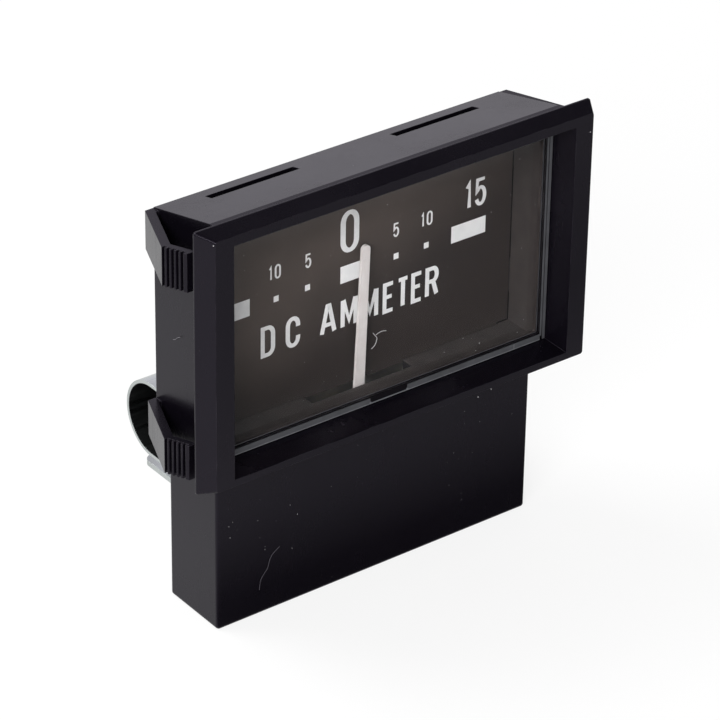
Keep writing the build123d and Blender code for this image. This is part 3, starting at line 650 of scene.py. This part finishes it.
dust()
grey_lint = lint("grey_lint", (0.5, 0.49, 0.5))
fibre("window_hair", on_front(WINDOW_HAIR, WINDOW_HAIR_Y), WINDOW_HAIR_RADIUS, grey_lint)
fibre("window_hair_branch", on_front(WINDOW_HAIR_BRANCH, WINDOW_HAIR_Y), WINDOW_HAIR_RADIUS, grey_lint)
fibre("well_hair", on_front(WELL_HAIR, WELL_HAIR_Y), WELL_HAIR_RADIUS, lint("dark_lint", (0.1, 0.09, 0.11)))
fibre("side_scuff", SIDE_SCUFF, SCUFF_RADIUS, lint("scuff_grey", (0.2, 0.19, 0.21)))

# Floor, world and lamps, with lengths in metres
FLOOR_REACH = 6.0
FLOOR_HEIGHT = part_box("case")[0].z
FLOOR_WHITE, FLOOR_DARK, FLOOR_LIGHT = (0.92,) * 3, (0.91,) * 3, (0.93,) * 3
CAMERA_WHITE, MIRROR_WHITE = 0.8, 0.92
MIRROR_TINT = (0.985, 0.95, 1.04)
# In reflections the floor goes from bright at the back left to darker at the front right
GLOW_PLACES, GLOW_LEVELS = (-0.05, 0.06), (0.84, 0.52)
# Where it starts to be lit in front of the object and left of it, and where it is lit behind
LIT_AHEAD, LIT_BESIDE, LIT_BEHIND = (-0.026, -0.003), (-0.045, -0.028), 0.002
# Darker patch in front: its back, front and left borders, how dark it is, and how far it leans
PATCH_BACK, PATCH_FRONT, PATCH_LEFT = (-0.046, -0.034), (-0.086, -0.082), (-0.031, -0.027)
PATCH_SHADE, PATCH_LEAN = 0.6, 0.763


def mirrored_floor(p):
    """The floor's brightness in reflections, which is none under the object."""
    axes = p.axes(p.place)
    x, y = axes["X"], axes["Y"]
    glow = p.span(p.minus(x, y), GLOW_PLACES, GLOW_LEVELS)
    ahead = p.span(y, LIT_AHEAD, (1, 0))
    beside = p.span(x, LIT_BESIDE, (1, 0))
    behind = p.above(y, LIT_BEHIND)
    lit = p.larger(ahead, p.larger(beside, behind))
    strip = p.times(p.span(y, PATCH_BACK, (PATCH_SHADE, 0)), p.span(y, PATCH_FRONT))
    column = p.plus(x, p.times(y, PATCH_LEAN))
    patch = p.times(strip, p.span(column, PATCH_LEFT))
    return p.times(glow, p.times(lit, p.minus(1.0, patch)))


def pale_floor():
    """White floor that keeps the shadow."""
    p = Paint("pale_floor", FLOOR_WHITE, 0.7, specular=0.05)
    p.set("Base Color", p.mix(p.noise(6, 3), FLOOR_DARK, FLOOR_LIGHT))
    clear, mirrored = p.ray_kinds()
    glow = p.add("ShaderNodeEmission", {"Color": p.mix(mirrored, (1, 1, 1), mirrored_floor(p))})
    share = p.plus(p.times(clear, CAMERA_WHITE), p.times(mirrored, MIRROR_WHITE))
    p.feed(p.surface, p.mix_shaders(share, p.shader.outputs["BSDF"], glow.outputs["Emission"]))
    mesh = bpy.data.meshes.new("floor")
    corners = [(x * FLOOR_REACH, y * FLOOR_REACH, FLOOR_HEIGHT) for x, y in SQUARE]
    mesh.from_pydata(corners, [], [(0, 1, 2, 3)])
    mesh.materials.append(p.mat)
    floor = bpy.data.objects.new("floor", mesh)
    scene.collection.objects.link(floor)


def white_world(level, front, back):
    """Plain white room that lights the object at one level, and is darker in reflections towards the
    front. Front and back are each a Y of the direction and the brightness there."""
    world = bpy.data.worlds.new("studio")
    scene.world = world
    world.use_nodes = True
    graph = Graph(world.node_tree)
    shade = graph.tree.nodes["Background"].inputs
    clear, mirrored = graph.ray_kinds()
    graph.feed(shade["Color"], graph.mix(mirrored, (1, 1, 1), MIRROR_TINT))
    direction = graph.add("ShaderNodeTexCoord").outputs["Generated"]
    room = graph.span(graph.axes(direction)["Y"], (front[0], back[0]), (front[1], back[1]))
    graph.feed(shade["Strength"], graph.choose(clear, graph.choose(mirrored, level, room), 1.0))


def softbox(name, place, target, size, watts):
    """Soft lamp. Its light passes the window as shadow rays, so refracted rays don't count it again."""
    data = bpy.data.lights.new(name, "AREA")
    data.shape = "RECTANGLE"
    data.size, data.size_y = size
    data.energy = watts
    lamp = bpy.data.objects.new(name, data)
    scene.collection.objects.link(lamp)
    lamp.visible_transmission = False
    lamp.location = place
    lamp.rotation_mode = "QUATERNION"
    lamp.rotation_quaternion = (Vector(target) - Vector(place)).to_track_quat("-Z", "Y")


pale_floor()
white_world(level=0.5, front=(0.42, 0.05), back=(0.68, 0.82))
softbox("key", place=(-0.35, 0.45, 0.75), target=(0, 0, -0.02), size=(0.5, 0.5), watts=5.0)
softbox("fill", place=(-0.7, -0.6, 0.5), target=(0, 0, -0.01), size=(0.6, 0.4), watts=8.7)
